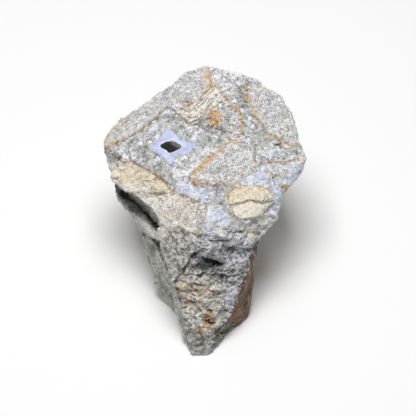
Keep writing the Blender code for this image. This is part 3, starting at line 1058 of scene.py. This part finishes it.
# Each rock is its light grains and its dark ones, how many grains there are to a
# millimetre, and how strongly they differ.
ROCKS = {
    "grey": ((262, 261, 262), (142, 139, 138), 1.35, 0.7),
    "cream": ((272, 265, 251), (186, 174, 153), 1.35, 0.7),
    "dull": ((230, 234, 233), (122, 126, 125), 1.25, 0.7),
    "bright cream": ((278, 270, 256), (212, 196, 170), 1.3, 0.7),
    "blue front": ((264, 265, 272), (122, 123, 131), 1.2, 0.8),
    "cream front": ((256, 252, 243), (116, 113, 104), 1.3, 0.8),
    "chips": ((280, 275, 262), (190, 184, 168), 1.3, 0.7),
    "olive": ((228, 229, 220), (110, 113, 103), 1.25, 0.65),
    "knob": ((236, 230, 218), (152, 148, 136), 0.9, 0.6),
    "tip": ((196, 196, 188), (88, 88, 82), 1.0, 0.7),
    # The underside's colours are painted shade, nearly black.
    "underside_shade": ((116, 114, 98), (22, 21, 15), 0.8, 0.9),
    "yellow": ((262, 240, 196), (218, 180, 124), 1.2, 0.8),
    "ochre": ((240, 204, 150), (162, 124, 82), 1.2, 0.8),
    "rusty": ((250, 196, 118), (148, 86, 40), 1.1, 0.95),
    "brown": ((126, 86, 50), (54, 34, 20), 1.3, 0.7),
    "chalcedony": ((194, 202, 234), (170, 182, 225), 0.5, 0.5),
}
# Each kind of quartz is its light grains and its dark ones, and their size in mm.
QUARTZ = {
    "milky": ((264, 264, 272), (158, 158, 168), 1.8),
    "murky": ((212, 214, 206), (131, 134, 124), 2.2),
    "snowy": ((274, 272, 274), (172, 169, 171), 1.8),
    "blue": ((260, 266, 275), (190, 195, 222), 1.6),
}
# Several tints are painted light and shade: the highlights on the lower cream fragment, on the
# chalcedony and in the pocket, the lit patch of pale cement, and the shade in patches, cracks, grain
# gaps, pits, seams, the notch, the front hollow and under the lip.
TINTS = {
    "low cream highlight": (274, 268, 254), "dark bedding": (158, 148, 130),
    "straw": (214, 196, 156), "cool": (184, 192, 206), "lobe cloud": (112, 114, 104),
    "pale layers": (252, 252, 250), "light hatching": (270, 269, 268),
    "dark hatching": (118, 118, 118), "white lines": (272, 270, 266),
    "dark lines": (118, 108, 92), "pit_shade": (92, 86, 82), "patch shade": (92, 82, 70),
    "front rust": (124, 88, 50), "red stain": (170, 108, 84), "red spot": (150, 82, 58),
    "speck": (60, 66, 62), "light streak": (178, 134, 86), "dark streak": (52, 38, 32),
    "light blotch": (184, 126, 62), "dark blotch": (40, 28, 20), "seam_and_shade": (74, 68, 60),
    "chalcedony highlight": (212, 218, 243), "pale cement and painted light": (252, 254, 270), "lip": (216, 214, 222),
    "pocket wall": (150, 150, 156), "pocket_highlight": (270, 270, 272), "crack shade": (70, 66, 58),
    "grain shade": (104, 102, 98), "cavity shade": (100, 100, 90), "under lip shadow": (36, 37, 32),
    "front_hollow_shade": (50, 51, 46), "worn edge": (246, 245, 243),
}


def paint(red, green, blue):
    """A colour as it looks on the bright face, as the light it returns.

    The numbers are those of the sRGB curve, which turns screen values into light.
    """
    channels = []
    for value in (red, green, blue):
        share = value / 255
        linear = share / 12.92 if share < 0.04045 else ((share + 0.055) / 1.055) ** 2.4
        channels.append(min(linear / FACE_LIGHT, WHITEST))
    return (*channels, 1.0)


print(len(ROCKS), "rocks,", len(QUARTZ), "kinds of quartz,", len(TINTS), "tints")

# %% [markdown]
# ## The finish
#
# One material covers the stone, because its colours run into each other. It starts
# with the quartz between the fragments, lays the fragments over it, and then adds
# what came last: ochre rims, blue chalcedony and rust, with painted shade in the
# hollows on top. The helpers below place a node or two each, so that one line lays one thing on the
# stone.
# A ramp(lumps(7), 0.5, 0.66, 0, 0.7) gives 0 where noise with lumps of 7 mm is under
# 0.5, and 0.7 where it is over 0.66. The two numbers after a mark's name are how far
# its edge wobbles and how soft it is, in mm.

# %% Start the material
PATCH_DEPTH = 30.0

finish = bpy.data.materials.new("brecciated agate")
finish.use_nodes = True
tree = finish.node_tree
shader = tree.nodes["Principled BSDF"]
spot = tree.nodes.new("ShaderNodeTexCoord").outputs["Object"]
in_mm = place("VectorMath", spot)
in_mm.operation = "SCALE"
in_mm.inputs["Scale"].default_value = 1 / MM
feed(in_mm.inputs[0], spot)
vector = in_mm.outputs[0]


def lumps(size, detail=2.0, roughness=0.5, curl=0.0, space=vector):
    """Noise whose lumps are about size mm across."""
    return noise(space, 1 / size, detail, roughness, curl)


def field(name):
    """A number that the mesh keeps for each point."""
    node = tree.nodes.new("ShaderNodeAttribute")
    node.attribute_name = name
    return node.outputs["Fac"]


def grouped(group, **values):
    """Places a node group, and sets or links its inputs."""
    node = tree.nodes.new("ShaderNodeGroup")
    node.node_tree = group
    feed(node.inputs["Vector"], vector)
    for name, value in values.items():
        feed(node.inputs[name.capitalize()], value)
    return node.outputs


def rock(name):
    light, dark, fineness, contrast = ROCKS[name]
    light, dark = paint(*light), paint(*dark)
    return grouped(speckle, light=light, dark=dark, fineness=fineness, contrast=contrast)


def quartz(name):
    light, dark, size = QUARTZ[name]
    return grouped(grains, light=paint(*light), dark=paint(*dark), size=size)


def streaked(direction, share):
    """A space that is squeezed along a direction, so that noise in it makes streaks."""
    along, part, left = (place("VectorMath", vector) for _ in range(3))
    along.operation, part.operation, left.operation = "DOT_PRODUCT", "SCALE", "SUBTRACT"
    feed(along.inputs[0], vector)
    feed(along.inputs[1], direction)
    feed(part.inputs[0], direction)
    feed(part.inputs["Scale"], times(along.outputs["Value"], share))
    feed(left.inputs[0], vector)
    feed(left.inputs[1], part.outputs[0])
    return left.outputs[0]


hidden = field("hidden")
shown = rest(hidden)
drawn = grouped(breccia)


def where_shown(name, elsewhere):
    """A field on the visible side, and another value on the rest."""
    return maths("MULTIPLY_ADD", elsewhere, hidden, times(field(name), shown))


def mask(distance, wobble, softness):
    """Turns a distance into a mask, whose edge wobbles by some mm and is soft."""
    return grouped(ragged, distance=distance, wobble=wobble, softness=softness)["Mask"]


def mark(name, wobble, softness):
    """The mask of a mark that only the visible side has."""
    return times(mask(field(name), wobble, softness), shown)


def marks_all_round(name, size, level, wobble, softness):
    """The mask of a mark, and of patches like it where no photograph shows any."""
    patches = times(maths("SUBTRACT", lumps(size, detail=1.0), level), PATCH_DEPTH)
    return mask(where_shown(name, patches), wobble, softness)


def lay(under, over, *shares):
    """Lays a rock or a tint over a colour, as thickly as the shares say together."""
    top = paint(*TINTS[over]) if isinstance(over, str) else over["Color"]
    return mix(times(*shares), under, top)


# %% [markdown]
# ### Quartz and cement
#
# The quartz between the fragments is made of grains of about 2 mm. Some are milky and
# some let the dark rock below show through, so two kinds lie mottled side by side.
# Greenish, white and pale blue parts follow outlines on the visible side, and noise on
# the rest. The white patches at the near edge of the level face are painted light.

# %% Quartz and cement between the fragments
murky = quartz("murky")
mottle = lumps(3.6, detail=3.0, roughness=0.6, curl=0.6)
between = lay(murky["Color"], quartz("milky"), ramp(mottle, 0.43, 0.55))
between = lay(between, murky, marks_all_round("greenish", 16.0, 0.55, 2.5, 1.5), 0.75)
between = lay(between, quartz("snowy"), marks_all_round("white_and_lit_patch", 20.0, 0.62, 2.5, 1.5), 0.8)
between = lay(between, quartz("blue"), marks_all_round("blue_cement", 24.0, 0.52, 2.0, 0.8), 0.9)
print("nodes after the quartz", len(tree.nodes))

# %% [markdown]
# ### Fragments
#
# The fragments are fine-grained volcanic rock: grey on the upper left, and cream where
# iron has got into them. Each has the same grains in other colours, so they are
# blended by a share of warmth. Fine straw and bluish tints keep it from looking flat.

# %% The rock of the fragments
BEDDING = (0.80, 0.56, 0.23)

grey = rock("grey")
fragment_colour = lay(grey["Color"], rock("dull"), ramp(lumps(7.0, detail=3.0), 0.5, 0.66, 0.0, 0.7))
lower_warmth = ramp(field("lower_left"), -1.0, 4.0, 0.0, 0.6)
brow_warmth = times(mask(field("brow"), 1.5, 1.2), 0.7)
cream_warmth = mask(field("cream"), 0.5, 0.4)
bright_share = maths("MAXIMUM", cream_warmth, brow_warmth)
warmth = times(maths("MAXIMUM", lower_warmth, bright_share), shown)
patchy = ramp(lumps(9.0), 0.5, 0.75, 0.0, 0.15)
hidden_warmth = times(drawn["Tone"], hidden, 0.8)
warmth = maths("ADD", maths("ADD", warmth, patchy), hidden_warmth, clamped=True)
fragment_colour = lay(fragment_colour, rock("cream"), warmth)
fragment_colour = lay(fragment_colour, rock("bright cream"), bright_share, shown)
# A painted highlight makes the lower cream fragment lighter.
fragment_colour = lay(fragment_colour, "low cream highlight", mark("cream_low_highlight", 0.5, 0.4), 0.45)
bedding = lumps(1.1, roughness=0.6, space=streaked(BEDDING, 0.85))
bands = times(mark("upper_left", 0.5, 0.5), ramp(bedding, 0.52, 0.62, 0.0, 0.45))
fragment_colour = lay(fragment_colour, "dark bedding", bands)
tint = lumps(2.6, detail=3.0, roughness=0.6, curl=1.0)
fragment_colour = lay(fragment_colour, "straw", ramp(tint, 0.53, 0.68, 0.0, 0.4))
fragment_colour = lay(fragment_colour, "cool", ramp(tint, 0.45, 0.3, 0.0, 0.35))
fragment_mask = mask(where_shown("fragment", drawn["Fragment"]), 0.5, 0.25)
colour = mix(fragment_mask, between, fragment_colour)
print("nodes after the fragments", len(tree.nodes))

# %% [markdown]
# ### The front and the old joint faces
#
# The steep front broke last. It shows coarser, darker grains than the level face,
# bluish on the right and cream on the left, with fresh pale chips. The smooth olive
# lobe on the left, the knob above it and the tip are weathered faces, each with a
# colour of its own. The underside near the floor is painted nearly black, as shade.

# %% The front, the weathered faces, and the painted shade of the underside
JOINT_GRAIN = (-0.22, -0.49, -0.84)

front = mix(mask(field("bluish_front"), 3.0, 1.5), rock("cream front")["Color"],
            rock("blue front")["Color"])
colour = mix(times(field("front"), shown, rest(fragment_mask)), colour, front)
colour = lay(colour, rock("chips"), mark("pale_chips", 1.0, 0.4), 0.85)
olive_mask = mark("olive", 0.8, 0.8)
colour = lay(colour, rock("olive"), olive_mask)
cloud = lumps(5.0, detail=3.0, roughness=0.6, space=streaked(JOINT_GRAIN, 0.6))
colour = lay(colour, "lobe cloud", olive_mask, ramp(cloud, 0.5, 0.38, 0.0, 0.6))
colour = lay(colour, rock("knob"), mark("knob", 1.0, 1.0), 0.92)
hatching = lumps(1.0, roughness=0.6, space=streaked(HATCHING, 0.8))
hatch_mask = times(mask(field("lower_left"), 1.0, 1.0), field("front"), shown)
colour = lay(colour, "pale layers", hatch_mask, 0.35)
colour = lay(colour, "light hatching", hatch_mask, ramp(hatching, 0.55, 0.65, 0.0, 0.6))
colour = lay(colour, "dark hatching", hatch_mask, ramp(hatching, 0.44, 0.36, 0.0, 0.55))
colour = lay(colour, rock("tip"), mark("tip", 2.0, 1.2), 0.85)
# Painted shade on the underside, where it faces the floor.
underside_shade_mask = times(mask(field("underside_shade"), 0.8, 0.6), ramp(shown, 0.0, 0.4))
colour = lay(colour, rock("underside_shade"), underside_shade_mask)
print("nodes after the front", len(tree.nodes))

# %% [markdown]
# ### Stain, streaks and painted shade
#
# Water left yellow stain along the joints. Shade is painted dark in patches where
# the surface lies in recesses and cracks, with patches like it on the rest. Both cover
# the rock in specks, so a noise breaks each patch up. One fragment has slanting
# streaks, and one has small dark pits, whose shade is painted as dark dots.

# %% Yellow stain, and painted shade in patches
SLANT = (0.68, 0.73, 0.02)

yellow_specks = lumps(2.0, detail=3.0, roughness=0.65, curl=0.8)
colour = lay(colour, rock("yellow"), marks_all_round("yellowed", 18.0, 0.6, 2.5, 1.8),
             ramp(yellow_specks, 0.47, 0.6, 0.1, 0.9))
slanting = lumps(1.5, detail=3.0, roughness=0.65, curl=0.8, space=streaked(SLANT, 0.6))
streaked_mask = mark("streaked", 2.0, 0.8)
colour = lay(colour, "white lines", streaked_mask, ramp(slanting, 0.51, 0.57, 0.0, 0.85))
colour = lay(colour, "dark lines", streaked_mask, ramp(slanting, 0.44, 0.37, 0.0, 0.7))
# Dark dots on the grey block are painted shade in small pits.
pit_shade = lumps(1.3, roughness=0.6, curl=0.8)
colour = lay(colour, "pit_shade", mark("grey_block", 1.0, 0.5), ramp(pit_shade, 0.46, 0.38, 0.0, 0.8))
# Shade painted in patches, broken into dark specks.
shade_specks = lumps(1.9, detail=3.0, roughness=0.65)
colour = lay(colour, "patch shade", marks_all_round("painted_shade", 14.0, 0.66, 2.5, 1.5),
             ramp(shade_specks, 0.42, 0.58, 0.15, 0.8))
print("nodes after the stain", len(tree.nodes))

# %% [markdown]
# ### Rims and rust
#
# A thin ochre rim runs round each fragment, where iron settled out of the water. It
# swells, thins and breaks off, so two noises are added to the distance from the line
# before the edge is decided. Rust is thicker and darker in a few spots.

# %% Rims and rust
swell = ramp(lumps(3.0), 0.35, 0.62, -0.4, 0.35)
nicks = ramp(lumps(1.1, curl=0.5), 0.4, 0.6, -0.2, 0.3)
rim_field = maths("ADD", where_shown("rim", drawn["Rim"]), maths("ADD", swell, nicks))
rim_strength = ramp(lumps(5.0), 0.38, 0.55, 0.6, 1.0)
colour = lay(colour, rock("ochre"), ramp(rim_field, 0.0, 0.6), rim_strength)
rust = lay(rock("rusty")["Color"], "front rust", field("front"), 0.5)
rust_mask = times(mark("rust", 1.2, 0.5), ramp(lumps(1.6), 0.4, 0.5, 0.55, 0.95))
colour = mix(rust_mask, colour, rust)
colour = lay(colour, "red stain", mark("reddened", 2.0, 1.0), ramp(lumps(1.5), 0.5, 0.58, 0.08, 0.75))
colour = lay(colour, "red spot", mark("red", 0.8, 0.3), 0.75)
colour = lay(colour, "speck", ramp(field("specks"), -0.2, 0.25), shown, 0.85)
print("nodes after the rims", len(tree.nodes))

# %% [markdown]
# ### The brown joint face, the seams and lines of painted shade
#
# The right-hand side is an old joint face that iron has coated brown. Its coat ran
# down the face, so its streaks and blotches are stretched along it. Dark lines follow
# the cracks and break off like the rims. Some are seams, and some are painted shade
# along the edges of the lower-left fragment and the notch.

# %% The brown joint face, and thin dark lines of seams and painted shade
brown_mask = mask(field("brown_flank"), 1.5, 0.6)
streaks = lumps(1.5, detail=4.0, roughness=0.7, curl=0.8, space=streaked(JOINT_GRAIN, 0.5))
blotches = lumps(4.5, detail=3.0, roughness=0.65, curl=0.5, space=streaked(JOINT_GRAIN, 0.3))
brown = rock("brown")["Color"]
brown = lay(brown, "light streak", ramp(streaks, 0.52, 0.62, 0.0, 0.6))
brown = lay(brown, "dark streak", ramp(streaks, 0.48, 0.38, 0.0, 0.7))
brown = lay(brown, "light blotch", ramp(blotches, 0.52, 0.62, 0.0, 0.5))
brown = lay(brown, "dark blotch", ramp(blotches, 0.48, 0.38, 0.0, 0.7))
colour = mix(times(brown_mask, 0.95), colour, brown)
# Dark seams and painted shade lines, broken off in places.
seam_breaks = ramp(lumps(2.4), 0.38, 0.5, 0.25, 0.85)
colour = lay(colour, "seam_and_shade", ramp(field("seam_and_shade"), 0.0, 0.8), seam_breaks, shown)
print("nodes after the seams", len(tree.nodes))

# %% [markdown]
# ### Chalcedony
#
# The blue chalcedony lines the open pocket. It is quartz too fine to show grains, so
# it is nearly one colour, with two paler patches painted on as highlights. Inside the
# pocket the wall is grey, and one small spot is painted near white as a highlight.

# %% Blue chalcedony round the pocket
chalcedony_mask = mark("chalcedony", 1.5, 0.45)
colour = lay(colour, rock("chalcedony"), chalcedony_mask)
# Painted highlights on the chalcedony.
colour = lay(colour, "chalcedony highlight", mask(field("chalcedony_highlight"), 1.0, 0.8), chalcedony_mask, 0.7)
pale_share = ramp(lumps(1.5, roughness=0.6), 0.4, 0.6, 0.25, 0.75)
# Pale cement, and at the near edge of the level face a patch of painted light.
colour = lay(colour, "pale cement and painted light", mark("pale_cement_and_lit_patch", 2.5, 1.0), pale_share)
colour = lay(colour, "lip", ramp(field("pocket"), -1.0, -0.2), chalcedony_mask, 0.5)
pocket_mask = times(ramp(field("pocket"), 0.0, 0.6), shown)
colour = lay(colour, "pocket wall", pocket_mask)
# A painted highlight inside the pocket.
colour = lay(colour, "pocket_highlight", mask(field("pocket_highlight"), 0.3, 0.3), pocket_mask)
print("nodes after the chalcedony", len(tree.nodes))

# %% [markdown]
# ### Painted shade and wear
#
# Shade is painted dark where the surface is hollow, and edges wear pale. How hollow each point
# is was kept on the mesh: the fine hollows are the gaps between grains, and the coarse
# ones are cracks and pits. The notch and the hollow in the front are painted with dark
# shade inside, darkest under the lip.

# %% Painted shade in the hollows, and paler edges
# Painted shade in cracks, pits and the gaps between grains, darker where the surface is more hollow.
colour = lay(colour, "crack shade", ramp(field("coarse_hollow"), 0.5, 3.0, 0.0, 0.5))
hatching_unshaded = maths("MULTIPLY_ADD", hatch_mask, -0.85, 1.0)
fine = ramp(field("fine_hollow"), 0.04, 0.3, 0.0, 0.4)
colour = lay(colour, "grain shade", fine, hatching_unshaded)
# Painted shade in the notch under the brow, where the overhang hides it from the lamp.
cavity_shade = ramp(field("cavity"), -1.2, 1.8)
colour = lay(colour, "cavity shade", cavity_shade, 0.8)
# Painted shadow under the lip of the notch.
colour = lay(colour, "under lip shadow", ramp(field("under_lip_shadow"), 0.0, 0.5), 0.9)
# Painted shade in the hollow of the front.
colour = lay(colour, "front_hollow_shade", ramp(field("front_hollow_shade"), -1.4, 0.8), shown, 0.9)
worn = ramp(field("fine_hollow"), -0.03, -0.2, 0.0, 0.35)
colour = lay(colour, "worn edge", worn, rest(brown_mask), rest(cavity_shade))
feed(shader.inputs["Base Color"], colour)
print("nodes after the dirt", len(tree.nodes))

# %% [markdown]
# ### Gloss and grain
#
# Broken rock is dull, quartz a little brighter, and chalcedony nearly waxy. The grains
# are also too small for the net, so a bump makes them catch the light. It is weaker
# on the chalcedony, which broke smoothly.

# %% Gloss and grain
QUARTZ_ROUGHNESS, ROCK_ROUGHNESS, CHALCEDONY_ROUGHNESS = 0.5, 0.85, 0.34
BUMP_STRENGTH = 0.9
BUMP_HEIGHT = 1.2
CHALCEDONY_CALM = 0.85

extra = times(fragment_mask, ROCK_ROUGHNESS - QUARTZ_ROUGHNESS)
dullness = maths("ADD", extra, QUARTZ_ROUGHNESS)
gloss = times(chalcedony_mask, maths("SUBTRACT", dullness, CHALCEDONY_ROUGHNESS))
dullness = maths("SUBTRACT", dullness, gloss)
feed(shader.inputs["Roughness"], dullness)
bump = tree.nodes.new("ShaderNodeBump")
bump.inputs["Strength"].default_value = BUMP_STRENGTH
bump.inputs["Distance"].default_value = BUMP_HEIGHT * MM
calm = rest(times(chalcedony_mask, CHALCEDONY_CALM))
feed(bump.inputs["Height"], times(grey["Height"], calm))
feed(shader.inputs["Normal"], bump.outputs["Normal"])
stone.data.materials.clear()
stone.data.materials.append(finish)
print("nodes in the finish", len(tree.nodes))

# %% [markdown]
# ## The stone's place in the frame
#
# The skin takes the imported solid's place. It doesn't move, so it rides on the root.

# %% Put the stone in the frame
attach(stone, "root")
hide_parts("agate")
print("dressed", stone.name)

# %% [markdown]
# ## Floor, light and camera
#
# The photograph shows the stone in soft light from above and a little behind, so its
# top is nearly twice as bright as its front. A wide lamp overhead and a pale world
# give the same balance.

# %% The floor
FLOOR_SIZE = 6.0
FLOOR_TONE = 0.86

bpy.ops.object.select_all(action="DESELECT")
bpy.ops.mesh.primitive_plane_add(size=FLOOR_SIZE, location=(0, 0, 0))
floor = bpy.context.object
floor.name = "floor"
floor_finish = bpy.data.materials.new("pale floor")
floor_finish.use_nodes = True
floor_inputs = floor_finish.node_tree.nodes["Principled BSDF"].inputs
floor_inputs["Base Color"].default_value = (FLOOR_TONE, FLOOR_TONE, FLOOR_TONE, 1)
floor_inputs["Roughness"].default_value = 1.0
floor.data.materials.append(floor_finish)
print("floor", FLOOR_SIZE, "m wide")

# %% The light
LAMP_SIZE = 0.5
LAMP_PLACE = Vector((-0.06, 0.0, 0.97))
LAMP_WATTS = 9.0
WORLD_STRENGTH = 0.28

lamp = bpy.data.objects.new("lamp", bpy.data.lights.new("lamp", "AREA"))
lamp.data.size = LAMP_SIZE
lamp.data.energy = LAMP_WATTS
lamp.location = LAMP_PLACE
lamp.rotation_euler = (-LAMP_PLACE).to_track_quat("-Z", "Y").to_euler()
bpy.context.scene.collection.objects.link(lamp)
world = bpy.data.worlds.new("pale room")
world.use_nodes = True
sky = world.node_tree.nodes["Background"].inputs
sky["Color"].default_value = (1.0, 1.0, 1.0, 1.0)
sky["Strength"].default_value = WORLD_STRENGTH
bpy.context.scene.world = world
bpy.context.scene.view_settings.view_transform = "Standard"
print("lamp", LAMP_WATTS, "W,", round(LAMP_PLACE.length, 2), "m away")

# %% The camera
SENSOR_WIDTH = 36.0

camera = bpy.data.objects.new("camera", bpy.data.cameras.new("camera"))
camera.data.sensor_width = SENSOR_WIDTH
camera.data.lens = SENSOR_WIDTH * EYE_DISTANCE * PIXELS_PER_MM / FRAME_PIXELS
camera.location = Vector(AIM + TOWARD * EYE_DISTANCE) * MM
camera.rotation_euler = Vector(-TOWARD).to_track_quat("-Z", "Y").to_euler()
bpy.context.scene.collection.objects.link(camera)
bpy.context.scene.camera = camera
print("lens", round(camera.data.lens, 1), "mm")
